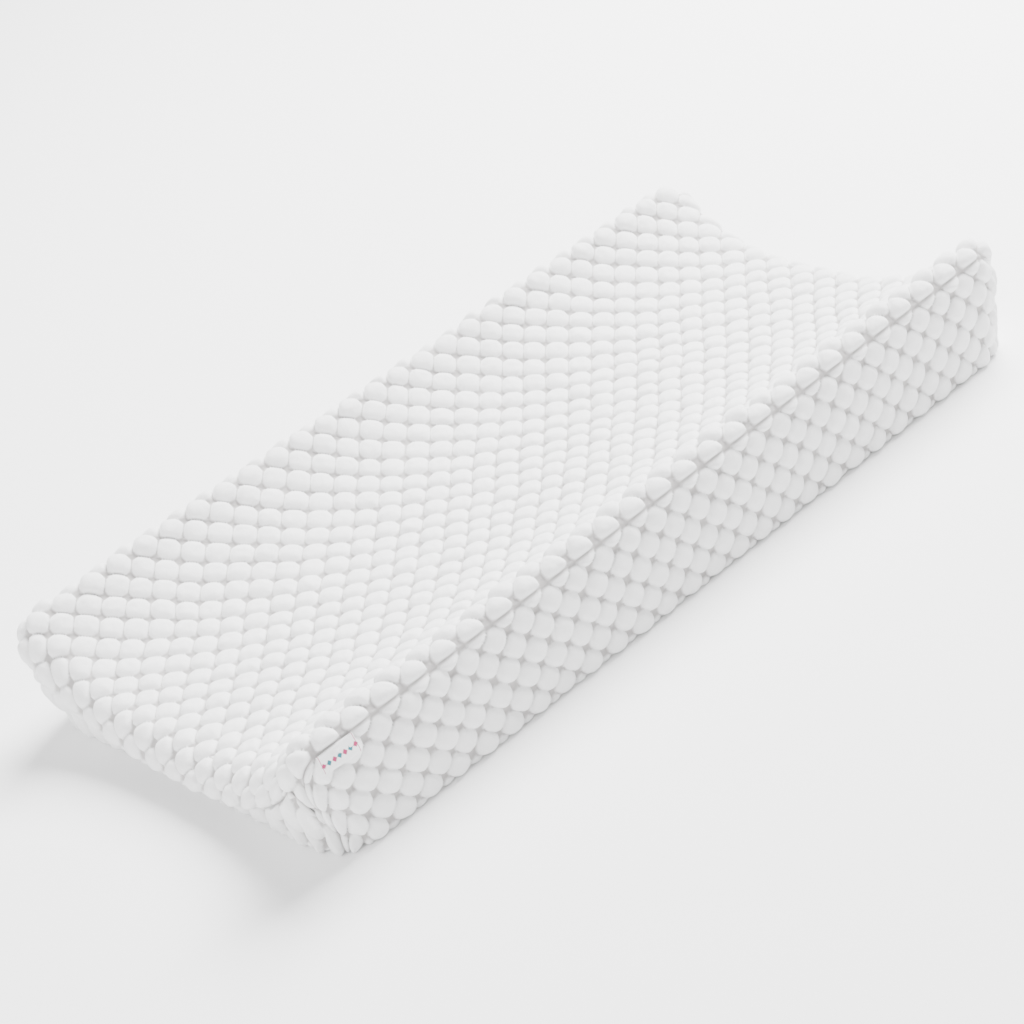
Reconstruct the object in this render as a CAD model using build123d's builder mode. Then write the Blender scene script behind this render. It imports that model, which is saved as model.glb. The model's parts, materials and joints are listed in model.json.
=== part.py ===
"""A contoured changing pad: a foam block with two raised long sides, sewn into a
wipe-clean vinyl liner with a zip and anchor straps underneath, and dressed in a
fitted plush cover whose elastic hem is turned under the pad.

Millimetres. +X across the pad, +Y along it from foot to head, +Z up. The origin is
the centre of the footprint, on the surface that the pad lies on.
"""

import math
import os

from build123d import *

# ---- driving dimensions ------------------------------------------------------
length = 800.0  # foot to head, over the cover
width = 410.0  # across the long sides, over the cover
height = 105.0  # top of the raised long sides
trough_height = 45.0  # top of the cover along the middle of the trough
corner_radius = 24.0  # in plan, at the four corners

# ---- cross-section of the contour --------------------------------------------
nose_radius = 14.0  # outside radius along each raised side
slope_angle = 43.0  # of the trough where it meets the raised side, degrees
floor_handle = 90.0  # how far the trough keeps level from the middle
slope_handle = 60.0  # how far its slope keeps straight below the raised side
handle_growth = 0.25  # added to each handle per millimetre of inset

# ---- cloth, vinyl and foam ---------------------------------------------------
plush = 5.0  # loft of the cover's cloth
seam_step = 1.2  # the top panel's seamed edge stands proud of the sides by this
vinyl = 0.8
slack = 0.3  # air between two layers
flap_reach = 60.0  # how far the cover is turned under the pad, hem included
end_ease = 14.0  # the foam and its liner stop this much further from each end
inner_corner_radius = 36.0  # of the liner, in plan

nose_x = width / 2 - nose_radius
nose_z = height - nose_radius
liner_inset = plush + slack
foam_inset = liner_inset + vinyl + slack
base_bottom = liner_inset
base_top = base_bottom + vinyl

# ---- elastic hem -------------------------------------------------------------
hem_opening_radius = 30.0
hem_width = 7.0
hem_bottom = 0.3
hem_height = 4.4
hem_cloth = 1.3
elastic_width = 4.0
elastic_thickness = 1.2
elastic_clearance = 0.3

# ---- label, folded over and caught in the seam on the right side ---------------
label_thickness = 1.0
label_length = 34.0
label_height = 12.0
label_centre = (width / 2 - seam_step + label_thickness / 2, -360.0, 84.0)

# ---- zip, under the pad to the right of its middle -----------------------------
zip_x = 80.0
slit_width = 14.0
slit_length = 600.0
tape_bottom = 4.2
tape_thickness = 0.5
tape_width = 14.0
tape_inner = 1.6  # from the zip's middle to the edge of each tape
tape_welt = 6.6  # the outer part of the tape, folded double and sewn to the base
tooth_inner = 0.8
tooth_width = 1.6
tooth_length = 1.5
tooth_height = 1.7
tooth_pitch = 4.0
tooth_count = 140
stop_length = 4.0

slider_width = 9.0
slider_length = 9.0
plate_thickness = 0.7
slider_bottom = 2.3
slider_top = 6.2
post_width = 1.0
post_length = 2.4
rim_width = 1.2
rim_gap = 1.1  # between the two rims, where the tape runs through
bail_width = 1.6
bail_bottom = 0.5
bail_thickness = 0.7
bail_leg = 1.0
bail_length = 7.0

rung_radius = 0.4
rung_z = 1.75
rung_from_middle = 1.9
pull_width = 5.0
pull_length = 19.0
pull_thickness = 0.7
pull_hole_width = 2.6
pull_hole_length = 6.2

tooth_row = tooth_count * tooth_pitch
tooth_middle = tape_bottom + tape_thickness / 2
slider_y = tooth_row / 2 - 6.0  # where the slider rests, closed, at the head end
rung_y = slider_y + rung_from_middle

# ---- anchor straps, under the pad --------------------------------------------
strap_y = 200.0  # either side of the middle
strap_width = 25.0
strap_thickness = 1.2
strap_root_x = -133.0
strap_top = 3.4
strap_length = 148.0
patch_gap = 0.5  # from the strap's root to the patch that holds it
patch_length = 24.0
patch_thickness = 1.2
eyelet_from_tip = 10.0
eyelet_bore = 3.0  # radius, for a No. 10 wood screw
eyelet_barrel = 3.7
eyelet_flange = 6.0
flange_thickness = 0.5

# ---- grip dots, under the base -----------------------------------------------
dot_radius = 2.0
dot_height = 0.8
dot_pitch = 36.0
dot_columns = 7
dot_rows = 18

os.makedirs("parts", exist_ok=True)


# ---- shared shapes -----------------------------------------------------------
def contour_face(inset, mode=Mode.ADD):
    """The pad's cross-section, everywhere inset by that much from the cover's outside."""
    nose = nose_radius - inset
    floor = trough_height - inset
    slope = math.radians(slope_angle)
    handle = slope_handle + handle_growth * inset
    crest = (nose_x - nose * math.sin(slope), nose_z + nose * math.cos(slope))
    below_crest = (crest[0] - handle * math.cos(slope), crest[1] - handle * math.sin(slope))
    beside_floor = (floor_handle + handle_growth * inset, floor)
    with BuildLine() as outline:
        Line((0, inset), (nose_x + nose, inset))
        Line((nose_x + nose, inset), (nose_x + nose, nose_z))
        CenterArc((nose_x, nose_z), nose, 0, 90 + slope_angle)
        Bezier(crest, below_crest, beside_floor, (0, floor))
        mirror(about=Plane.YZ)
    make_face(outline.edges(), mode=mode)


def skin_section(inset, thickness):
    """Cross-section of a skin over the trough and both raised sides, down to their sides."""
    contour_face(inset)
    contour_face(inset + thickness, mode=Mode.SUBTRACT)
    with Locations((0, 0)):
        Rectangle(
            width,
            2 * (inset + thickness),
            align=(Align.CENTER, Align.MIN),
            mode=Mode.SUBTRACT,
        )
    with Locations((-nose_x - nose_radius, 0), (nose_x, 0)):
        Rectangle(nose_radius, nose_z, align=Align.MIN, mode=Mode.SUBTRACT)


def below_skin_section(skin_inset, side_inset, bottom):
    """Cross-section of all that lies under a skin, between sides that reach out to side_inset."""
    contour_face(skin_inset)
    with Locations((0, bottom)):
        Rectangle(
            width - 2 * side_inset,
            trough_height - skin_inset - bottom,
            align=(Align.CENTER, Align.MIN),
        )
    side_thickness = skin_inset - side_inset
    with Locations((-width / 2 + side_inset, bottom), (width / 2 - skin_inset, bottom)):
        Rectangle(side_thickness, nose_z - bottom, align=Align.MIN)


def footprint(inset, mode=Mode.ADD):
    """The cover's rounded outline from above, inset by that much."""
    RectangleRounded(width - 2 * inset, length - 2 * inset, corner_radius - inset, mode=mode)


def inner_footprint(inset, mode=Mode.ADD):
    """The same for the liner and the foam, which are shorter and have rounder corners."""
    RectangleRounded(
        width - 2 * inset,
        length - 2 * inset - 2 * end_ease,
        inner_corner_radius + liner_inset - inset,
        mode=mode,
    )


def hem_outline(grown, mode=Mode.ADD):
    """The rounded opening under the pad, grown by that much."""
    RectangleRounded(
        width - 2 * flap_reach + 2 * grown,
        length - 2 * flap_reach + 2 * grown,
        hem_opening_radius + grown,
        mode=mode,
    )


def mitre_face(side_x, side_y):
    """One side's share of the footprint, cut at 45 degrees through the corners' centres."""
    far_x = width / 2 + corner_radius
    far_y = length / 2 + corner_radius
    apex = length / 2 - width / 2
    with BuildLine() as outline:
        if side_x:
            Polyline(
                (side_x * far_x, far_y),
                (0, apex),
                (0, -apex),
                (side_x * far_x, -far_y),
                close=True,
            )
        else:
            Polyline((far_x, side_y * far_y), (0, side_y * apex), (-far_x, side_y * far_y), close=True)
    make_face(outline.edges())


def write(builder, name):
    builder.part.label = name
    export_step(builder.part, f"parts/{name}.step")


# ---- foam core ---------------------------------------------------------------
with BuildPart() as foam_core:
    with BuildSketch(Plane.XZ):
        contour_face(foam_inset)
    extrude(amount=length / 2, both=True)
    with BuildSketch(Plane.XY):
        inner_footprint(foam_inset)
    extrude(amount=height, mode=Mode.INTERSECT)
write(foam_core, "foam_core")

# ---- vinyl liner -------------------------------------------------------------
# The top sheet runs over the contour and down both long sides. A gusset closes each
# end and turns its corners, and the base closes the underside.
gusset_reach = liner_inset + end_ease + inner_corner_radius

with BuildPart() as liner_top_sheet:
    with BuildSketch(Plane.XZ):
        skin_section(liner_inset, vinyl)
        side_height = nose_z - base_top
        with Locations(
            (-width / 2 + liner_inset, base_top),
            (width / 2 - liner_inset - vinyl, base_top),
        ):
            Rectangle(vinyl, side_height, align=Align.MIN)
    extrude(amount=length / 2, both=True)
    with BuildSketch(Plane.XY):
        inner_footprint(liner_inset)
    extrude(amount=height, mode=Mode.INTERSECT)
    with BuildSketch(Plane.XY):
        with GridLocations(width, length, 2, 2):
            Rectangle(2 * (liner_inset + vinyl), 2 * gusset_reach)
    extrude(amount=nose_z, mode=Mode.SUBTRACT)
write(liner_top_sheet, "liner_top_sheet")

for name, end in (("liner_foot_gusset", -1), ("liner_head_gusset", 1)):
    with BuildPart() as gusset:
        with BuildSketch(Plane.XY.offset(base_top)):
            inner_footprint(liner_inset)
            inner_footprint(liner_inset + vinyl, mode=Mode.SUBTRACT)
        extrude(amount=height)
        with BuildSketch(Plane.XZ):
            below_skin_section(liner_inset + vinyl, liner_inset, base_top)
        extrude(amount=length / 2, both=True, mode=Mode.INTERSECT)
        with BuildSketch(Plane.XY):
            with Locations((0, end * length / 2)):
                Rectangle(width, 2 * gusset_reach)
        extrude(amount=height, mode=Mode.INTERSECT)
    write(gusset, name)

with BuildPart() as liner_base:
    with BuildSketch(Plane.XY.offset(base_bottom)):
        inner_footprint(liner_inset)
        with Locations((zip_x, 0)):
            SlotOverall(slit_length, slit_width, rotation=90, mode=Mode.SUBTRACT)
    extrude(amount=vinyl)
write(liner_base, "liner_base")

# ---- grip dots ---------------------------------------------------------------
# Left out where the zip and the straps' patches are sewn on.
patch_middle_x = strap_root_x + patch_gap + patch_length / 2

with BuildPart() as grip_dots:
    with BuildSketch(Plane.XY.offset(base_bottom)):
        for place in GridLocations(dot_pitch, dot_pitch, dot_columns, dot_rows):
            x, y = place.position.X, place.position.Y
            beside_zip = abs(x - zip_x) > tape_inner + tape_width + dot_radius
            beside_patch = (
                abs(x - patch_middle_x) > patch_length / 2 + dot_radius
                or abs(abs(y) - strap_y) > strap_width / 2 + dot_radius
            )
            if beside_zip and beside_patch:
                with Locations(place):
                    Circle(dot_radius)
    extrude(amount=-dot_height)
write(grip_dots, "grip_dots")

# ---- zip ---------------------------------------------------------------------
stop_y = tooth_row / 2 + stop_length / 2

for name, side in (("left", -1), ("right", 1)):
    outer_edge = tape_inner + tape_width
    with BuildPart() as zipper_tape:
        with BuildSketch(Plane.XZ):
            with Locations((zip_x + side * (tape_inner + tape_width / 2), tape_bottom)):
                Rectangle(tape_width, tape_thickness, align=(Align.CENTER, Align.MIN))
            with Locations((zip_x + side * (outer_edge - tape_welt / 2), tape_bottom)):
                Rectangle(tape_welt, base_bottom - tape_bottom, align=(Align.CENTER, Align.MIN))
        extrude(amount=slit_length / 2 + tape_width / 2, both=True)
    write(zipper_tape, f"zipper_tape_{name}")

    with BuildPart() as zipper_teeth:
        with BuildSketch(Plane.XY.offset(tooth_middle - tooth_height / 2)):
            with Locations((zip_x + side * (tooth_inner + tooth_width / 2), side * tooth_pitch / 4)):
                with GridLocations(tooth_pitch, tooth_pitch, 1, tooth_count):
                    RectangleRounded(tooth_width, tooth_length, tooth_length / 4)
        extrude(amount=tooth_height)
        with BuildSketch(Plane.XY.offset(tape_bottom)):
            with Locations((zip_x + side * (tape_inner + tape_width / 2), 0)):
                Rectangle(tape_width, tooth_row + tooth_pitch)
        extrude(amount=tape_thickness, mode=Mode.SUBTRACT)
    write(zipper_teeth, f"zipper_teeth_{name}")

with BuildPart() as zipper_stops:
    with BuildSketch(Plane.XY.offset(tooth_middle - tooth_height / 2)):
        with Locations((zip_x, stop_y), (zip_x, -stop_y)):
            Rectangle(2 * (tooth_inner + tooth_width), stop_length)
    extrude(amount=tooth_height)
    with BuildSketch(Plane.XY.offset(tape_bottom)):
        for side in (-1, 1):
            with Locations((zip_x + side * (tape_inner + tape_width / 2), 0)):
                Rectangle(tape_width, slit_length)
    extrude(amount=tape_thickness, mode=Mode.SUBTRACT)
write(zipper_stops, "zipper_stops")

# The slider has two plates joined by a post, rims that guide the teeth, and a bail
# underneath that its pull hangs on.
with BuildPart() as zipper_slider:
    plate_radius = 2.0
    for plate_bottom in (slider_bottom, slider_top - plate_thickness):
        with BuildSketch(Plane.XY.offset(plate_bottom)):
            with Locations((zip_x, slider_y)):
                RectangleRounded(slider_width, slider_length, plate_radius)
        extrude(amount=plate_thickness)
    with BuildSketch(Plane.XY.offset(slider_bottom)):
        with Locations((zip_x, slider_y + (slider_length - post_length) / 2)):
            Rectangle(post_width, post_length)
    extrude(amount=slider_top - slider_bottom)
    rim_length = slider_length - 2 * plate_radius
    with BuildSketch(Plane.XY.offset(slider_bottom)):
        for side in (-1, 1):
            with Locations((zip_x + side * (slider_width - rim_width) / 2, slider_y)):
                Rectangle(rim_width, rim_length)
    extrude(amount=slider_top - slider_bottom)
    with BuildSketch(Plane.XY.offset(tooth_middle - rim_gap / 2)):
        for side in (-1, 1):
            with Locations((zip_x + side * (slider_width - rim_width) / 2, slider_y)):
                Rectangle(rim_width, rim_length)
    extrude(amount=rim_gap, mode=Mode.SUBTRACT)
    with BuildSketch(Plane.YZ.offset(zip_x)):
        with Locations((slider_y, bail_bottom)):
            Rectangle(bail_length, slider_bottom - bail_bottom, align=(Align.CENTER, Align.MIN))
        with Locations((slider_y, bail_bottom + bail_thickness)):
            Rectangle(
                bail_length - 2 * bail_leg,
                slider_bottom - bail_bottom - bail_thickness,
                align=(Align.CENTER, Align.MIN),
                mode=Mode.SUBTRACT,
            )
    extrude(amount=bail_width / 2, both=True)
write(zipper_slider, "zipper_slider")

with BuildPart() as zipper_pull:
    with BuildSketch(Plane.XY.offset(rung_z - pull_thickness / 2)):
        with Locations((zip_x, rung_y)):
            Rectangle(pull_width, pull_length / 2, align=(Align.CENTER, Align.MAX))
        with Locations((zip_x, rung_y - pull_length / 2)):
            RectangleRounded(pull_width, pull_length, pull_width / 3)
        with Locations((zip_x, rung_y)):
            Rectangle(
                pull_hole_width,
                pull_hole_length,
                align=(Align.CENTER, Align.MAX),
                mode=Mode.SUBTRACT,
            )
    extrude(amount=pull_thickness)
    with BuildSketch(Plane.YZ.offset(zip_x)):
        with Locations((rung_y, rung_z)):
            Circle(rung_radius)
    extrude(amount=pull_width / 2, both=True)
write(zipper_pull, "zipper_pull")

# ---- anchor straps -----------------------------------------------------------
strap_bottom = strap_top - strap_thickness
eyelet_x = strap_root_x + strap_length - eyelet_from_tip

for name, end in (("foot", -1), ("head", 1)):
    with BuildPart() as anchor_strap:
        with BuildSketch(Plane.XY.offset(strap_bottom)):
            with Locations((strap_root_x, end * strap_y)):
                Rectangle(strap_length, strap_width, align=(Align.MIN, Align.CENTER))
            with Locations((eyelet_x, end * strap_y)):
                Circle(eyelet_barrel, mode=Mode.SUBTRACT)
        extrude(amount=strap_thickness)
        tip_corners = anchor_strap.edges().filter_by(Axis.Z).group_by(Axis.X)[-1]
        fillet(tip_corners, radius=strap_width / 4)
    write(anchor_strap, f"anchor_strap_{name}")

    with BuildPart() as strap_eyelet:
        for flange_bottom in (strap_bottom - flange_thickness, strap_top):
            with BuildSketch(Plane.XY.offset(flange_bottom)):
                with Locations((eyelet_x, end * strap_y)):
                    Circle(eyelet_flange)
            extrude(amount=flange_thickness)
        with BuildSketch(Plane.XY.offset(strap_bottom)):
            with Locations((eyelet_x, end * strap_y)):
                Circle(eyelet_barrel)
        extrude(amount=strap_thickness)
        with BuildSketch(Plane.XY):
            with Locations((eyelet_x, end * strap_y)):
                Circle(eyelet_bore)
        extrude(amount=base_bottom, mode=Mode.SUBTRACT)
    write(strap_eyelet, f"strap_eyelet_{name}")

with BuildPart() as strap_patches:
    with BuildSketch(Plane.XY.offset(base_bottom)):
        with Locations((patch_middle_x, -strap_y), (patch_middle_x, strap_y)):
            RectangleRounded(patch_length, strap_width, vinyl)
    extrude(amount=-patch_thickness)
write(strap_patches, "strap_patches")

# ---- plush cover -------------------------------------------------------------
with BuildPart() as cover_top_panel:
    with BuildSketch(Plane.XZ):
        skin_section(0, plush)
    extrude(amount=length / 2, both=True)
    with BuildSketch(Plane.XY):
        Rectangle(width + 2 * corner_radius, length + 2 * corner_radius)
        footprint(0, mode=Mode.SUBTRACT)
    extrude(amount=height, mode=Mode.SUBTRACT)
write(cover_top_panel, "cover_top_panel")

# Each side panel hangs from the top panel and turns under the pad as a flap.
sides = (("left", -1, 0), ("right", 1, 0), ("foot", 0, -1), ("head", 0, 1))

for name, side_x, side_y in sides:
    with BuildPart() as cover_side:
        with BuildSketch(Plane.XY):
            footprint(seam_step)
            footprint(plush, mode=Mode.SUBTRACT)
        extrude(amount=height)
        with BuildSketch(Plane.XY):
            footprint(seam_step)
            hem_outline(hem_width, mode=Mode.SUBTRACT)
        extrude(amount=plush)
        with BuildSketch(Plane.XZ):
            below_skin_section(plush, seam_step, 0)
        extrude(amount=length / 2, both=True, mode=Mode.INTERSECT)
        with BuildSketch(Plane.XY):
            mitre_face(side_x, side_y)
        extrude(amount=height, mode=Mode.INTERSECT)
    write(cover_side, f"cover_{name}_panel")

# The hem is a channel that holds the elastic and stands open towards the flaps.
with BuildPart() as hem_casing:
    with BuildSketch(Plane.XY.offset(hem_bottom)):
        hem_outline(hem_width)
        hem_outline(0, mode=Mode.SUBTRACT)
    extrude(amount=hem_height)
    with BuildSketch(Plane.XY.offset(hem_bottom + hem_cloth)):
        hem_outline(hem_width)
        hem_outline(hem_cloth, mode=Mode.SUBTRACT)
    extrude(amount=hem_height - 2 * hem_cloth, mode=Mode.SUBTRACT)
write(hem_casing, "hem_casing")

with BuildPart() as hem_elastic:
    elastic_inner = hem_cloth + elastic_clearance
    with BuildSketch(Plane.XY.offset(hem_bottom + (hem_height - elastic_thickness) / 2)):
        hem_outline(elastic_inner + elastic_width)
        hem_outline(elastic_inner, mode=Mode.SUBTRACT)
    extrude(amount=elastic_thickness)
write(hem_elastic, "hem_elastic")

with BuildPart() as seam_label:
    with Locations(label_centre):
        Box(label_thickness, label_length, label_height)
write(seam_label, "seam_label")
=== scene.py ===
"""A changing pad in its bubble-plush cover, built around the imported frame.

The cover is five seamed cloth panels. Each is a grid laid over the pad's contour and
raised into the quilted bubbles of the cloth. Lengths are millimetres until
new_piece() turns them into metres; materials, lights and the camera are in metres.
"""
import json

import bpy
import numpy as np
from mathutils import Matrix, Vector


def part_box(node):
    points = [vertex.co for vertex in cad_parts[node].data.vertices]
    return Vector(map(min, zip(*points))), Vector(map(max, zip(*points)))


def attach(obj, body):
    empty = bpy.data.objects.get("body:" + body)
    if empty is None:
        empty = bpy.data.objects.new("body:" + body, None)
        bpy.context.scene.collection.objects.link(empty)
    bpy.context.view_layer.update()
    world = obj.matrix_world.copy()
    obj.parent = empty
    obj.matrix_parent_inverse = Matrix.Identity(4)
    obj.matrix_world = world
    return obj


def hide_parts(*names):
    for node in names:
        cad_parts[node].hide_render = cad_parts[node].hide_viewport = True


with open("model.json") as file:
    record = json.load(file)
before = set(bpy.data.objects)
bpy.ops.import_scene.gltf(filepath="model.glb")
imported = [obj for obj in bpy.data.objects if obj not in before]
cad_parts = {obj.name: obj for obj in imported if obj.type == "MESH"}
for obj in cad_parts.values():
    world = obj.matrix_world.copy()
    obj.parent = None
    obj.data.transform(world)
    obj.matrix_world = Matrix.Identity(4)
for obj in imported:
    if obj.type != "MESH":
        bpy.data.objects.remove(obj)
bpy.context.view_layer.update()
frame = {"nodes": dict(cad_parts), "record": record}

MM = 1000.0

# ---- the frame's sizes -------------------------------------------------------
half_width, half_length, height = (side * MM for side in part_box("cover_top_panel")[1])
hem_x, hem_y = (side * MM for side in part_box("hem_casing")[1][:2])

# ---- the contour's sizes, which the frame's boxes don't give -----------------
trough_height = 45.0
nose_radius = 14.0
slope_angle = 43.0  # of the raised sides' inner slopes, degrees
floor_handle = 90.0  # reach of the trough curve's handle along its floor
slope_handle = 60.0  # and down from the nose
handle_growth = 0.25  # more of both for each millimetre of inset

# ---- how the cloth lies ------------------------------------------------------
loft = 3.5  # from the seams and creases out to the pad's nominal outside
seam_rise = 16.0  # angle on the nose at which the side seams run, degrees
end_roll = 22.0  # radius of the top panel's roll over each end
end_drop = 5.0  # how far the top panel hangs below that roll
tip_drop = 38.0  # more of it at the corners
tip_span = 30.0  # and the stretch over which it grows
corner_radius = 26.0
wall_bulge = 1.5
bottom_roll = 6.0
floor_gap = 1.4
side_tuck = 0.3  # how far the elastic draws in the foot of the long sides
end_tuck = 11.0  # and of the ends
corner_soften = 11.0  # how much rounder the corners are at the foot
tuck_height = 75.0  # up to where the walls are drawn in
flap_rows = 22  # grid steps in a wall's flap under the pad
roll_rows = 7  # in its roll at the foot
wall_rows = 56  # and in its upright part
lowest = 0.15  # no cloth comes nearer the surface the pad lies on
seam_fade = 4.0  # bubbles flatten out over this much at a seam
flap_press = 0.72  # share of their height that bubbles lose under the pad
gather_pitch = 9.5  # of the folds that the elastic draws the flap into
gather_height = 0.9

# ---- the bubbles -------------------------------------------------------------
bubble_y = 29.0  # repeat of the quilting along the pad
bubble_s = 28.6  # and across it
cells = 18  # grid steps in one repeat, so that creases follow grid points
roundness = 2.9  # of a bubble's outline: 2 is a circle, more is squarer
bubble_height = 5.8
ridge_height = 1.6  # more on the bubbles along both raised sides
ridge_inset = 15.0  # of that row from the side seam
ridge_width = 13.0
pit_depth = 1.0
pit_width = 3.2
size_spread = 0.17  # how much bubbles differ in height
lean = 0.05  # and how far their middles stray, in repeats
dome_power = 2.6  # of a bubble's section: 2 is round, more is flatter on top
side_shift = 1.3  # lines the side walls' rows up with the seam
end_bubble_x = 23.0  # repeat of the bubbles across the end walls
end_bubble_z = 40.0  # and up them

# ---- the hem and the label ---------------------------------------------------
hem_corner = 37.0  # outer corner radius of the hem's path
hem_half = 3.5  # from the hem's outside in to its middle
hem_reach = 3.6  # half its width
hem_half_height = 2.15
hem_middle = 2.55  # height of its middle
hem_ripple = 0.13
hem_pitch = 6.3
label_thickness = 0.45
label_diamonds = 7
diamond_size = 2.3
diamond_height = 0.55  # share of the label's drop
border_inset = 0.9

rng = np.random.default_rng(31)
noise_tables = rng.random((40, 64, 64)) * 2 - 1


def smooth(x):
    x = np.clip(x, 0, 1)
    return x * x * (3 - 2 * x)


def noise(u, v, size, index):
    """Smooth noise from -1 to 1 in lumps of about that size. Each index is its own pattern."""
    table = noise_tables[index]
    gu, gv = u / size + 17.3 * index, v / size + 9.1 * index
    iu, iv = np.floor(gu).astype(int), np.floor(gv).astype(int)
    fu, fv = smooth(gu - iu), smooth(gv - iv)
    a, b = table[iu % 64, iv % 64], table[(iu + 1) % 64, iv % 64]
    c, d = table[iu % 64, (iv + 1) % 64], table[(iu + 1) % 64, (iv + 1) % 64]
    return (a * (1 - fu) + b * fu) * (1 - fv) + (c * (1 - fu) + d * fu) * fv


def bubble_field(u, v, pitch_u, pitch_v, index):
    """Height, from 0 to about 1, of bubbles in staggered rows, and how deep the pits are."""
    best = None
    for stagger in (0.0, 0.5):
        iu, iv = np.round(u / pitch_u - stagger), np.round(v / pitch_v - stagger)
        du, dv = u / pitch_u - stagger - iu, v / pitch_v - stagger - iv
        reach = np.abs(du) + np.abs(dv)
        if best is None:
            best = [reach, du, dv, iu, iv]
        else:
            closer = reach < best[0]
            new = [reach, du, dv, iu + 31, iv + 17]
            best = [np.where(closer, n, o) for n, o in zip(new, best)]
    reach, du, dv, iu, iv = best
    iu, iv = iu.astype(int), iv.astype(int)
    table = noise_tables[index]
    size = table[iu % 64, iv % 64]
    lean_u = lean * table[iv % 64, (iu + 5) % 64]
    lean_v = lean * table[(iv + 9) % 64, (iu + 21) % 64]
    edge = np.clip(1 - (2 * reach) ** 4, 0, 1)
    du, dv = du + lean_u * edge, dv + lean_v * edge
    p, q = np.abs(2 * (du + dv)), np.abs(2 * (du - dv))
    out = (p ** roundness + q ** roundness) ** (1 / roundness)
    dome = np.sqrt(np.clip(1 - out ** dome_power, 0, 1))
    pit_u, pit_v = (np.abs(du) - 0.5) * pitch_u / pit_width, dv * pitch_v / pit_width
    return dome * (1 + size_spread * size), np.exp(-(pit_u ** 2) - pit_v ** 2)


# ---- the pad's contour -------------------------------------------------------
def half_contour(inset):
    """Points from the middle of the trough up over the nose to the side seam."""
    nose = nose_radius - inset
    nose_x, nose_z = half_width - nose_radius, height - nose_radius
    slope = np.radians(slope_angle)
    handle = slope_handle + handle_growth * inset
    crest = np.array([nose_x - nose * np.sin(slope), nose_z + nose * np.cos(slope)])
    below = crest - handle * np.array([np.cos(slope), np.sin(slope)])
    floor = trough_height - inset
    beside = np.array([floor_handle + handle_growth * inset, floor])
    t = np.linspace(0, 1, 600)[:, None]
    trough = (1 - t) ** 3 * np.array([0.0, floor]) + 3 * (1 - t) ** 2 * t * beside
    trough = trough + 3 * (1 - t) * t * t * below + t ** 3 * crest
    turn = np.radians(np.linspace(90 + slope_angle, seam_rise, 120))[1:]
    arc = np.stack([nose_x + nose * np.cos(turn), nose_z + nose * np.sin(turn)], 1)
    return np.concatenate([trough, arc])


contour = half_contour(loft)
contour_run = np.concatenate([[0], np.cumsum(np.hypot(*np.diff(contour, axis=0).T))])
seam_s = contour_run[-1]
wall_x, seam_z = contour[-1]
wall_y = half_length - loft
roll_start = wall_y - end_roll
roll_end = roll_start + end_roll * np.pi / 2


def contour_at(s):
    """Where the top panel is across the pad, s along it from the middle: x and z."""
    x = np.interp(np.abs(s), contour_run, contour[:, 0]) * np.sign(s)
    return x, np.interp(np.abs(s), contour_run, contour[:, 1])


def end_at(t):
    """Where the top panel is, t along it from the middle: y, and how far it has dropped."""
    past = np.abs(t) - roll_start
    turn = np.clip(past / end_roll, 0, np.pi / 2)
    y = np.minimum(np.abs(t), roll_start) + end_roll * np.sin(turn)
    drop = end_roll * (1 - np.cos(turn)) + np.maximum(past - end_roll * np.pi / 2, 0)
    return y * np.sign(t), drop


def top_reach(s):
    """Length of the top panel from its middle to its end seam."""
    near_corner = smooth((np.abs(s) - seam_s + tip_span) / tip_span)
    return roll_end + end_drop + tip_drop * near_corner ** 1.6


def round_plan(x, y, edge_x, edge_y, radius):
    """Rounds the plan's square corners."""
    a = np.clip((np.abs(x) - edge_x + radius) / radius, 0, 1)
    b = np.clip((np.abs(y) - edge_y + radius) / radius, 0, 1)
    new_x = np.minimum(np.abs(x), edge_x - radius) + radius * a * np.sqrt(1 - b * b / 2)
    new_y = np.minimum(np.abs(y), edge_y - radius) + radius * b * np.sqrt(1 - a * a / 2)
    new_x = new_x + np.maximum(np.abs(x) - edge_x, 0)
    new_y = new_y + np.maximum(np.abs(y) - edge_y, 0)
    return new_x * np.sign(x), new_y * np.sign(y)


def gather_plan(x, y, z, inward=0.0):
    """Draws a wall's plan in towards its foot, rounds its corners, and insets it."""
    low = smooth(1 - z / tuck_height)
    edge_x = wall_x - side_tuck * low - inward
    edge_y = wall_y - end_tuck * low - inward
    radius = corner_radius + corner_soften * low
    return round_plan(x * edge_x / wall_x, y * edge_y / wall_y, edge_x, edge_y, radius)


# ---- meshes ------------------------------------------------------------------
def grid_normals(points, outward):
    """Unit normals of a grid of points, turned to the outward side."""
    du, dv = np.gradient(points, axis=0), np.gradient(points, axis=1)
    normals = np.cross(du, dv)
    normals /= np.maximum(np.linalg.norm(normals, axis=2, keepdims=True), 1e-9)
    middle = normals[normals.shape[0] // 2, normals.shape[1] // 2]
    return normals if np.dot(middle, outward) > 0 else -normals


def grid_faces(rows, columns, flip):
    index = np.arange(rows * columns).reshape(rows, columns)
    corners = [index[:-1, :-1], index[1:, :-1], index[1:, 1:], index[:-1, 1:]]
    if flip:
        corners.reverse()
    return np.stack([c.ravel() for c in corners], 1)


def new_piece(name, points, faces, attributes=None):
    mesh = bpy.data.meshes.new(name)
    mesh.from_pydata((points / MM).tolist(), [], faces.tolist())
    mesh.update()
    mesh.polygons.foreach_set("use_smooth", [True] * len(mesh.polygons))
    for key, values in (attributes or {}).items():
        layer = mesh.attributes.new(key, "FLOAT", "POINT")
        layer.data.foreach_set("value", np.asarray(values, dtype=np.float32).ravel())
    piece = bpy.data.objects.new(name, mesh)
    bpy.context.scene.collection.objects.link(piece)
    return piece


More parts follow.
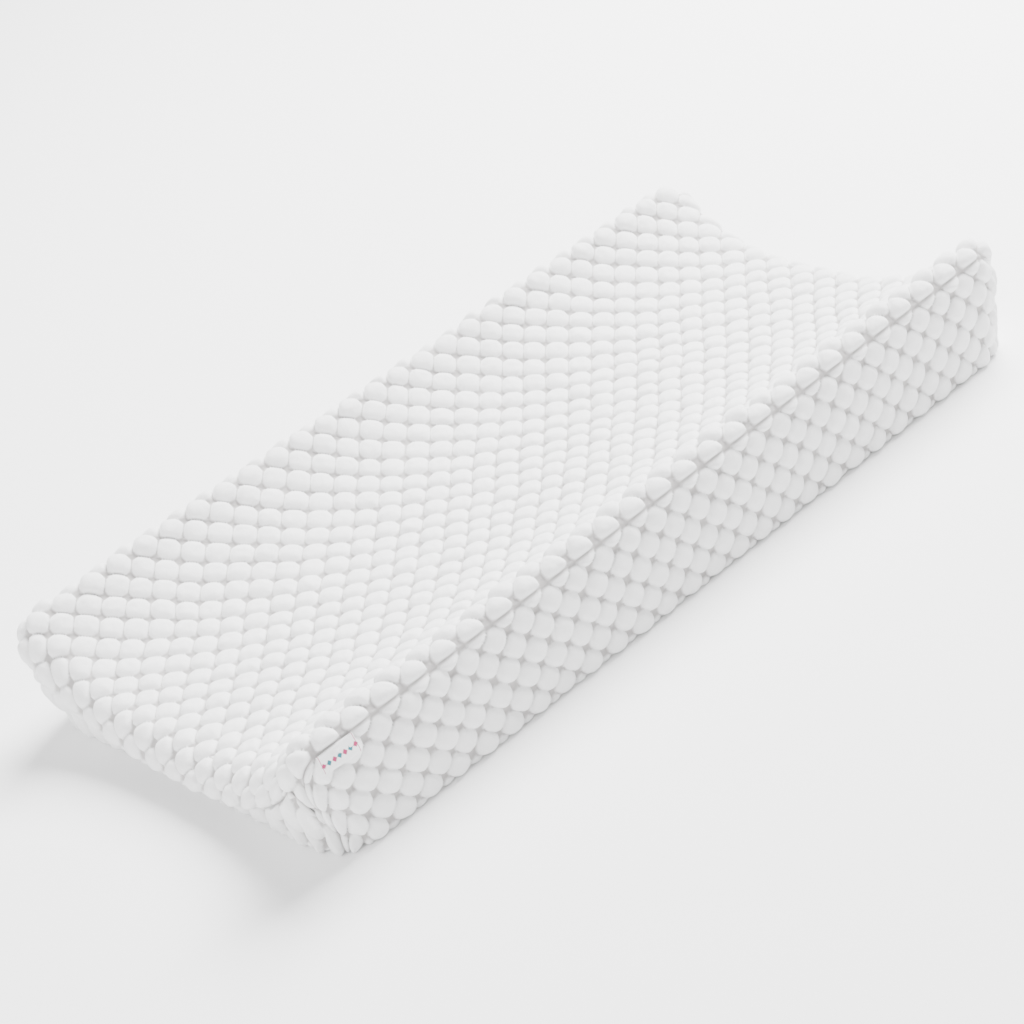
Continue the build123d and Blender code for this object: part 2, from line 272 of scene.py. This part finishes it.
def cloth_panel(name, base, lift, outward, puff):
    """Raises a grid along its normals into a panel of the cover."""
    normals = grid_normals(base, np.array(outward, dtype=float))
    points = base + normals * lift[..., None]
    points[..., 2] = np.maximum(points[..., 2], lowest)
    rows, columns = lift.shape
    du, dv = np.gradient(base, axis=0), np.gradient(base, axis=1)
    flip = np.mean(np.sum(np.cross(du, dv) * normals, axis=2)) < 0
    faces = grid_faces(rows, columns, flip)
    piece = new_piece(name, points.reshape(-1, 3), faces, {"puff": puff})
    piece.data.materials.append(plush)
    return piece


# ---- materials ---------------------------------------------------------------
def new_material(name, colour, roughness, sheen=0.0, metallic=0.0):
    material = bpy.data.materials.new(name)
    material.use_nodes = True
    nodes, links = material.node_tree.nodes, material.node_tree.links
    shader = nodes["Principled BSDF"]
    shader.inputs["Base Color"].default_value = (*colour, 1)
    shader.inputs["Roughness"].default_value = roughness
    shader.inputs["Metallic"].default_value = metallic
    shader.inputs["Sheen Weight"].default_value = sheen
    shader.inputs["Sheen Roughness"].default_value = 0.5
    place = nodes.new("ShaderNodeTexCoord")
    return material, nodes, links, shader, place


def add_bump(nodes, links, height_socket, strength, distance, below=None):
    bump = nodes.new("ShaderNodeBump")
    bump.inputs["Strength"].default_value = strength
    bump.inputs["Distance"].default_value = distance
    links.new(height_socket, bump.inputs["Height"])
    if below:
        links.new(below.outputs["Normal"], bump.inputs["Normal"])
    return bump


def add_noise(nodes, links, place, scale, detail=3.0, rough=0.55):
    texture = nodes.new("ShaderNodeTexNoise")
    texture.inputs["Scale"].default_value = scale
    texture.inputs["Detail"].default_value = detail
    texture.inputs["Roughness"].default_value = rough
    links.new(place.outputs["Object"], texture.inputs["Vector"])
    return texture


def add_mix(nodes, links, factor, colour_a, colour_b):
    mix = nodes.new("ShaderNodeMix")
    mix.data_type = "RGBA"
    mix.inputs["A"].default_value = (*colour_a, 1)
    if isinstance(colour_b, tuple):
        mix.inputs["B"].default_value = (*colour_b, 1)
    else:
        links.new(colour_b, mix.inputs["B"])
    links.new(factor, mix.inputs["Factor"])
    return mix


def make_plush(name):
    """White pile, with painted shade darkening it down in the creases between bubbles."""
    material, nodes, links, shader, place = new_material(name, (0.9, 0.9, 0.9), 0.95, sheen=0.3)
    mottle = add_noise(nodes, links, place, 38, 4.0)
    # crease is painted shade: a darker grey laid into the creases between bubbles, not a colour of the
    # cloth
    warm, white, crease = (0.88, 0.875, 0.87), (0.935, 0.935, 0.935), (0.46, 0.44, 0.435)
    tone = add_mix(nodes, links, mottle.outputs["Fac"], warm, white)
    # the puff attribute is low in the creases and sets where the painted shade falls
    depth = nodes.new("ShaderNodeAttribute")
    depth.attribute_name = "puff"
    crease_shade_ramp = nodes.new("ShaderNodeMapRange")
    crease_shade_ramp.inputs["From Min"].default_value = 0.0
    crease_shade_ramp.inputs["From Max"].default_value = 0.34
    links.new(depth.outputs["Fac"], crease_shade_ramp.inputs["Value"])
    shade = add_mix(nodes, links, crease_shade_ramp.outputs["Result"], crease, tone.outputs["Result"])
    links.new(shade.outputs["Result"], shader.inputs["Base Color"])
    crumple = add_noise(nodes, links, place, 150, 3.0, 0.5)
    pile = add_noise(nodes, links, place, 900, 5.0, 0.75)
    soft = add_bump(nodes, links, crumple.outputs["Fac"], 0.5, 0.0016)
    fine = add_bump(nodes, links, pile.outputs["Fac"], 0.55, 0.0007, soft)
    links.new(fine.outputs["Normal"], shader.inputs["Normal"])
    return material


def make_woven(name, colour, pitch, roughness=0.85):
    """Cloth woven with that many threads to a metre."""
    material, nodes, links, shader, place = new_material(name, colour, roughness, sheen=0.15)
    one_thread = 0.157  # the wave's scale for one thread to the metre
    waves = []
    for direction in ("X", "Y"):
        wave = nodes.new("ShaderNodeTexWave")
        wave.bands_direction = direction
        wave.inputs["Scale"].default_value = pitch * one_thread
        wave.inputs["Distortion"].default_value = 0.4
        wave.inputs["Detail"].default_value = 1.0
        links.new(place.outputs["Object"], wave.inputs["Vector"])
        waves.append(wave)
    both = nodes.new("ShaderNodeMath")
    both.operation = "MULTIPLY"
    for wave, socket in zip(waves, both.inputs):
        links.new(wave.outputs["Fac"], socket)
    mottle = add_noise(nodes, links, place, 200)
    dark = tuple(c * 0.86 for c in colour)
    tone = add_mix(nodes, links, mottle.outputs["Fac"], dark, colour)
    links.new(tone.outputs["Result"], shader.inputs["Base Color"])
    bump = add_bump(nodes, links, both.outputs["Value"], 0.6, 0.0004)
    links.new(bump.outputs["Normal"], shader.inputs["Normal"])
    return material


def make_grained(name, colour, grain, roughness, depth=0.0004, metallic=0.0):
    """Vinyl, rubber, foam or metal with a fine grain, that many grains to a metre."""
    material, nodes, links, shader, place = new_material(name, colour, roughness, 0.0, metallic)
    cellular = nodes.new("ShaderNodeTexVoronoi")
    cellular.inputs["Scale"].default_value = grain
    links.new(place.outputs["Object"], cellular.inputs["Vector"])
    mottle = add_noise(nodes, links, place, grain / 8)
    dark = tuple(c * 0.9 for c in colour)
    tone = add_mix(nodes, links, mottle.outputs["Fac"], dark, colour)
    links.new(tone.outputs["Result"], shader.inputs["Base Color"])
    wear = nodes.new("ShaderNodeMapRange")
    wear.inputs["To Min"].default_value = roughness * 0.85
    wear.inputs["To Max"].default_value = min(1.0, roughness * 1.15)
    links.new(mottle.outputs["Fac"], wear.inputs["Value"])
    links.new(wear.outputs["Result"], shader.inputs["Roughness"])
    bump = add_bump(nodes, links, cellular.outputs["Distance"], 0.5, depth)
    links.new(bump.outputs["Normal"], shader.inputs["Normal"])
    return material


def make_label():
    """Ribbon with a border and a plain row of small diamonds, in place of any mark."""
    material, nodes, links, shader, place = new_material("label_ribbon", (0.93, 0.93, 0.93), 0.7)
    sprig = nodes.new("ShaderNodeAttribute")
    sprig.attribute_name = "sprig"
    hue = nodes.new("ShaderNodeAttribute")
    hue.attribute_name = "hue"
    red, teal = (0.4, 0.03, 0.12), (0.02, 0.16, 0.2)
    ink = add_mix(nodes, links, hue.outputs["Fac"], red, teal)
    tone = add_mix(nodes, links, sprig.outputs["Fac"], (0.93, 0.93, 0.93), ink.outputs["Result"])
    links.new(tone.outputs["Result"], shader.inputs["Base Color"])
    thread = add_noise(nodes, links, place, 1500, 2.0)
    bump = add_bump(nodes, links, thread.outputs["Fac"], 0.4, 0.0003)
    links.new(bump.outputs["Normal"], shader.inputs["Normal"])
    return material


plush = make_plush("plush")
hem_cloth = make_plush("hem_cloth")
finishes = {
    "foam": make_grained("foam", (0.9, 0.87, 0.76), 700, 0.95, 0.0008),
    "liner_vinyl": make_grained("liner_vinyl", (0.9, 0.9, 0.89), 500, 0.45),
    "base_vinyl": make_grained("base_vinyl", (0.72, 0.73, 0.74), 600, 0.6),
    "grip_rubber": make_grained("grip_rubber", (0.5, 0.52, 0.54), 900, 0.8, 0.0002),
    "zip_tape": make_woven("zip_tape", (0.84, 0.84, 0.83), 1600),
    "zip_teeth": make_grained("zip_teeth", (0.86, 0.86, 0.85), 900, 0.4, 0.0001),
    "zip_metal": make_grained("zip_metal", (0.8, 0.8, 0.8), 1200, 0.35, 0.0001, 0.6),
    "strap_webbing": make_woven("strap_webbing", (0.86, 0.86, 0.85), 900),
    "eyelet_metal": make_grained("eyelet_metal", (0.62, 0.62, 0.63), 1500, 0.3, 0.0001, 1.0),
    "elastic": make_woven("elastic", (0.88, 0.88, 0.87), 1100),
    "label_ribbon": make_label(),
}
slots = {part["node"]: part["material_slot"] for part in frame["record"]["subparts"]}
for node, thing in frame["nodes"].items():
    finish = finishes.get(slots[node], plush)
    thing.data.materials.clear()
    thing.data.materials.append(finish)


# ---- cover: top panel --------------------------------------------------------
def make_top_panel():
    across = int(round(2 * seam_s / bubble_s * cells / 2)) * 2 + 1
    along = int(round(2 * top_reach(0) / bubble_y * cells / 2)) * 2 + 1
    s_line = np.linspace(-seam_s, seam_s, across)
    w_line = np.linspace(-1, 1, along)
    s, w = np.meshgrid(s_line, w_line, indexing="ij")
    longest = top_reach(np.zeros(1))[0]
    reach = top_reach(s)
    t = w * longest
    tail = roll_start - 20
    past = np.maximum(np.abs(t) - tail, 0) * (reach - tail) / (longest - tail)
    t = np.sign(t) * (np.minimum(np.abs(t), tail) + past)
    from_seam = np.minimum(seam_s - np.abs(s), reach - np.abs(t))
    keep = smooth(from_seam / 18)
    s_moved = s + keep * 1.3 * noise(s, t, 31, 0)
    t_moved = t + keep * 1.5 * noise(s, t, 37, 1)
    x, z = contour_at(s_moved)
    y, drop = end_at(t_moved)
    z = z - drop + keep * 1.2 * noise(s, t, 90, 2)
    x, y = gather_plan(x, y, seam_z - drop)
    base = np.stack([x, y, z], 2)
    dome, pit = bubble_field(t, s, bubble_y, bubble_s, 3)
    near = smooth(from_seam / seam_fade)
    crumple = 0.35 * noise(s, t, 7, 4) + 0.25 * noise(s, t, 4.5, 5)
    ridge = np.exp(-(((seam_s - np.abs(s) - ridge_inset) / ridge_width) ** 2))
    rise = bubble_height * (0.93 + 0.1 * noise(s, t, 120, 6)) + ridge_height * ridge
    lift = near * (rise * dome - pit_depth * pit)
    lift = lift + near * dome * crumple
    return cloth_panel("plush_top", base, lift, (0, 0, 1), dome * near)


# ---- cover: walls ------------------------------------------------------------
def make_wall(name, plan_x, plan_y, normal_x, normal_y, z_top, run, along, hem, fields):
    """One wall of the cover, turned under as a flap. Columns run along it, rows down it."""
    low = bottom_roll + floor_gap
    down = np.linspace(0, 1, wall_rows)
    shape = (len(plan_x), wall_rows + roll_rows + flap_rows)
    base = np.zeros(shape + (3,))
    depth = np.zeros(shape)
    for row in range(wall_rows):
        z = z_top + (low - z_top) * down[row]
        bulge = wall_bulge * np.sin(np.pi * down[row]) * (1 - np.abs(along) ** 6)
        x, y = gather_plan(plan_x, plan_y, z)
        x, y = x + normal_x * bulge, y + normal_y * bulge
        base[:, row] = np.stack([x, y, z], 1)
        depth[:, row] = z_top - z
    for row in range(roll_rows):
        turn = np.pi / 2 * (row + 1) / roll_rows
        z = np.full_like(plan_x, low - bottom_roll * np.sin(turn))
        x, y = gather_plan(plan_x, plan_y, z, bottom_roll * (1 - np.cos(turn)))
        base[:, wall_rows + row] = np.stack([x, y, z], 1)
        depth[:, wall_rows + row] = z_top - low + bottom_roll * turn
    edge = base[:, wall_rows + roll_rows - 1].copy()
    span = np.hypot(edge[:, 0] - hem[0], edge[:, 1] - hem[1])
    for row in range(flap_rows):
        part = (row + 1) / flap_rows
        x = edge[:, 0] + (hem[0] - edge[:, 0]) * part
        y = edge[:, 1] + (hem[1] - edge[:, 1]) * part
        z = np.full_like(x, floor_gap + 0.9 * part)
        at = wall_rows + roll_rows + row
        base[:, at] = np.stack([x, y, z], 1)
        depth[:, at] = z_top - low + bottom_roll * np.pi / 2 + span * part
    runs = np.repeat(run[:, None], shape[1], 1)
    under = np.clip((np.arange(shape[1]) - wall_rows) / roll_rows, 0, 1)[None, :]
    part = np.clip((np.arange(shape[1]) - wall_rows - roll_rows + 1) / flap_rows, 0, 1)[None, :]
    lift, puff = fields(runs, depth, under, part, base[..., 2])
    return cloth_panel(name, base, lift, (normal_x, normal_y, 0), puff)


def gathers(run, part, index):
    """Small radial folds that the elastic draws the flap into, towards the hem."""
    wander = 2.2 * noise(run, part * 40, 30, index)
    return part ** 2 * gather_height * np.sin(2 * np.pi * (run + wander) / gather_pitch)


def raise_cloth(near, dome, pit, under, crumple):
    """Bubbles and pits of a wall, pressed flat where it is turned under."""
    press = 1 - flap_press * under
    return near * press * (bubble_height * dome - pit_depth * pit + crumple * dome)


def make_side_wall(name, side, index):
    """A long side of the cover, from the ridge's seam down and under to the hem."""
    count = int(round(2 * roll_end / bubble_y * cells / 2)) * 2 + 1
    t = np.linspace(-roll_end, roll_end, count)
    y, drop = end_at(t)
    plan_x = np.full_like(y, side * wall_x)
    hem_line = np.full_like(y, side * hem_x)
    hem = round_plan(hem_line, y * hem_y / wall_y, hem_x, hem_y, hem_corner)

    def fields(runs, depth, under, part, z):
        from_ends = roll_end - np.abs(runs)
        near = smooth(np.minimum(depth, from_ends) / seam_fade)
        v = depth + bubble_s / 2 + side_shift
        dome, pit = bubble_field(runs, v, bubble_y, bubble_s, index)
        folds = np.exp(-(from_ends / 42) ** 2) * smooth(depth / 30) * (1 - under)
        wander = 5 * noise(runs, depth, 40, index + 3)
        crease = folds * 1.6 * np.sin(2 * np.pi * (runs + wander) / 21)
        crumple = 0.4 * noise(runs, depth, 7, index + 1)
        lift = raise_cloth(near, dome, pit, under, crumple)
        lift = lift + crease * near + gathers(runs, part, index + 2) * near
        return lift, dome * near

    z_top = seam_z - drop
    return make_wall(name, plan_x, y, side, 0, z_top, t, y / wall_y, hem, fields)


def make_end_wall(name, side, index):
    """The foot or head end of the cover. Its top follows the trough, past the roll."""
    count = int(round(2 * seam_s / bubble_s * cells / 2)) * 2 + 1
    s = np.linspace(-seam_s, seam_s, count)
    x, z = contour_at(s)
    drop = top_reach(s) - roll_start - end_roll * np.pi / 2 + end_roll
    z_top = z - drop
    plan_y = np.full_like(x, side * wall_y)
    hem_line = np.full_like(x, side * hem_y)
    hem = round_plan(x * hem_x / wall_x, hem_line, hem_x, hem_y, hem_corner)

    def fields(runs, depth, under, part, z):
        from_ends = wall_x - np.abs(runs)
        near = smooth(np.minimum(depth, from_ends) / seam_fade)
        u = runs + 2.5 * noise(runs, z, 33, index + 4)
        dome, pit = bubble_field(u, z + depth * 0.15, end_bubble_x, end_bubble_z, index)
        folds = (0.35 + np.exp(-(from_ends / 50) ** 2)) * smooth(depth / 12) * (1 - under)
        wander = 6 * noise(runs, depth, 45, index + 3)
        crease = folds * 1.5 * np.sin(2 * np.pi * (runs + wander) / 19)
        crumple = 0.5 * noise(runs, depth, 8, index + 1)
        lift = raise_cloth(near, dome, pit, under, crumple)
        lift = lift + crease * near + gathers(runs, part, index + 2) * near
        return lift, dome * near

    return make_wall(name, x, plan_y, 0, side, z_top, x, x / wall_x, hem, fields)


# ---- hem ---------------------------------------------------------------------
def make_hem():
    """The gathered tube of cloth that holds the elastic, round the opening underneath."""
    radius = hem_corner - hem_half
    straight_x, straight_y = hem_x - hem_corner, hem_y - hem_corner
    path = []
    for corner, (cx, cy) in enumerate(((1, 1), (-1, 1), (-1, -1), (1, -1))):
        for angle in np.linspace(0, np.pi / 2, 24):
            a = angle + corner * np.pi / 2
            x = cx * straight_x + radius * np.cos(a)
            y = cy * straight_y + radius * np.sin(a)
            path.append((x, y))
    path.append(path[0])
    path = np.array(path)
    run = np.concatenate([[0], np.cumsum(np.hypot(*np.diff(path, axis=0).T))])
    steps, turns = 1400, 14
    at = np.linspace(0, run[-1], steps, endpoint=False)
    x, y = np.interp(at, run, path[:, 0]), np.interp(at, run, path[:, 1])
    heading = np.stack([np.roll(x, -1) - np.roll(x, 1), np.roll(y, -1) - np.roll(y, 1)], 1)
    heading /= np.linalg.norm(heading, axis=1, keepdims=True)
    outward = np.stack([heading[:, 1], -heading[:, 0]], 1)
    around = np.linspace(0, 2 * np.pi, turns, endpoint=False)
    wander = 2 * noise(at, at * 0, 25, 30)
    ripple = 1 + hem_ripple * np.sin(2 * np.pi * (at + wander) / hem_pitch)
    points = np.zeros((steps, turns, 3))
    for i, a in enumerate(around):
        reach = hem_reach * np.cos(a) * ripple
        points[:, i, 0] = x + outward[:, 0] * reach
        points[:, i, 1] = y + outward[:, 1] * reach
        points[:, i, 2] = hem_middle + hem_half_height * np.sin(a) * ripple
    index = np.arange(steps * turns).reshape(steps, turns)
    after, beside = np.roll(index, -1, axis=0), np.roll(index, -1, axis=1)
    both = np.roll(after, -1, axis=1)
    faces = np.stack([index.ravel(), beside.ravel(), both.ravel(), after.ravel()], 1)
    points[..., 2] = np.maximum(points[..., 2], lowest)
    puff = np.ones(steps * turns)
    piece = new_piece("plush_hem", points.reshape(-1, 3), faces, {"puff": puff})
    piece.data.materials.append(hem_cloth)
    return piece


# ---- label -------------------------------------------------------------------
def make_label_piece():
    """A ribbon folded over, both of its ends caught in the side seam."""
    low, high = (np.array(corner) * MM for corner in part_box("seam_label"))
    length, drop = high[1] - low[1], high[2] - low[2] + 3
    columns, rows = 69, 57
    across = np.linspace(-length / 2, length / 2, columns)
    down = np.linspace(0, 1, rows)
    u, v = np.meshgrid(across, down, indexing="ij")
    fold = np.abs(v - 0.5) * 2
    hang = drop * (1 - fold)
    layer = np.where(v < 0.5, 1, -1) * (0.35 + 0.5 * (1 - fold)) * smooth(fold / 0.2)
    bow = 1.0 * np.sin(u / length * np.pi * 1.3 + 0.5) * (1 - fold)
    x = wall_x + 2.6 + 0.23 * hang + layer + bow
    y = (low[1] + high[1]) / 2 + u + 0.6 * (1 - fold) * noise(u, v * 30, 15, 33)
    z = seam_z - hang + 0.4 * (1 - fold) * noise(u, v * 30, 20, 34)
    points = np.stack([x, y, z], 2)
    place = (u + length / 2) / length * label_diamonds
    from_middle = np.abs(place - np.floor(place) - 0.5) * length / label_diamonds
    diamond = from_middle + np.abs(hang / drop - diamond_height) * drop
    from_ends = length / 2 - np.abs(u)
    sprig = (diamond < diamond_size) | (np.abs(from_ends - border_inset) < 0.3)
    hue = np.floor(place) % 2
    piece = new_piece(
        "ribbon_label", points.reshape(-1, 3), grid_faces(columns, rows, False),
        {"sprig": sprig, "hue": hue},
    )
    piece.data.materials.append(finishes["label_ribbon"])
    skin = piece.modifiers.new("thickness", "SOLIDIFY")
    skin.thickness = label_thickness / MM
    return piece


panels = {
    "cover_top_panel": make_top_panel(),
    "cover_left_panel": make_side_wall("plush_left", -1, 7),
    "cover_right_panel": make_side_wall("plush_right", 1, 12),
    "cover_foot_panel": make_end_wall("plush_foot", -1, 17),
    "cover_head_panel": make_end_wall("plush_head", 1, 23),
    "hem_casing": make_hem(),
    "seam_label": make_label_piece(),
}
for node, piece in panels.items():
    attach(piece, "pad")
    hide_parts(node)

# ---- floor, light and camera -------------------------------------------------
floor_reach = 6.0
floor_corners = [(x * floor_reach, y * floor_reach, 0) for x, y in ((-1, -1), (1, -1), (1, 1), (-1, 1))]
floor_mesh = bpy.data.meshes.new("floor")
floor_mesh.from_pydata(floor_corners, [], [(0, 1, 2, 3)])
floor = bpy.data.objects.new("floor", floor_mesh)
bpy.context.scene.collection.objects.link(floor)
floor_material = bpy.data.materials.new("floor")
floor_material.use_nodes = True
floor_shader = floor_material.node_tree.nodes["Principled BSDF"]
floor_shader.inputs["Base Color"].default_value = (0.95, 0.95, 0.95, 1)
floor_shader.inputs["Roughness"].default_value = 0.9
floor_mesh.materials.append(floor_material)

world = bpy.data.worlds.new("world")
world.use_nodes = True
sky = world.node_tree.nodes["Background"]
sky.inputs["Color"].default_value = (1, 1, 1, 1)
sky.inputs["Strength"].default_value = 0.95
bpy.context.scene.world = world


def add_light(name, place, target, size, power):
    light = bpy.data.lights.new(name, "AREA")
    light.size = size
    light.energy = power
    lamp = bpy.data.objects.new(name, light)
    lamp.location = place
    lamp.rotation_euler = (Vector(target) - Vector(place)).to_track_quat("-Z", "Y").to_euler()
    bpy.context.scene.collection.objects.link(lamp)


pad_middle = (0, 0, 0.05)
add_light("key", (-0.4, 2.2, 2.6), pad_middle, 2.4, 680)
add_light("fill", (0.3, -2.2, 1.2), pad_middle, 2.0, 60)

# The camera stands off the foot end's right corner and is rolled a little.
azimuth, elevation, roll = np.radians([57.66, 28.66, -19.15])
distance, shift_x, shift_y = 2.3072, 0.0262, -0.0158
level = np.cos(elevation)
back = Vector((np.sin(azimuth) * level, -np.cos(azimuth) * level, np.sin(elevation)))
right = Vector((0, 0, 1)).cross(back).normalized()
up = back.cross(right)
turned_right = right * np.cos(roll) + up * np.sin(roll)
turned_up = up * np.cos(roll) - right * np.sin(roll)
where = back * distance - turned_right * shift_x - turned_up * shift_y
camera_data = bpy.data.cameras.new("camera")
camera_data.lens = 95.2
camera_data.sensor_width = 36
camera = bpy.data.objects.new("camera", camera_data)
turn = Matrix((turned_right, turned_up, back)).transposed()
camera.matrix_world = Matrix.Translation(where) @ turn.to_4x4()
bpy.context.scene.collection.objects.link(camera)
bpy.context.scene.camera = camera

bpy.context.view_layer.update()
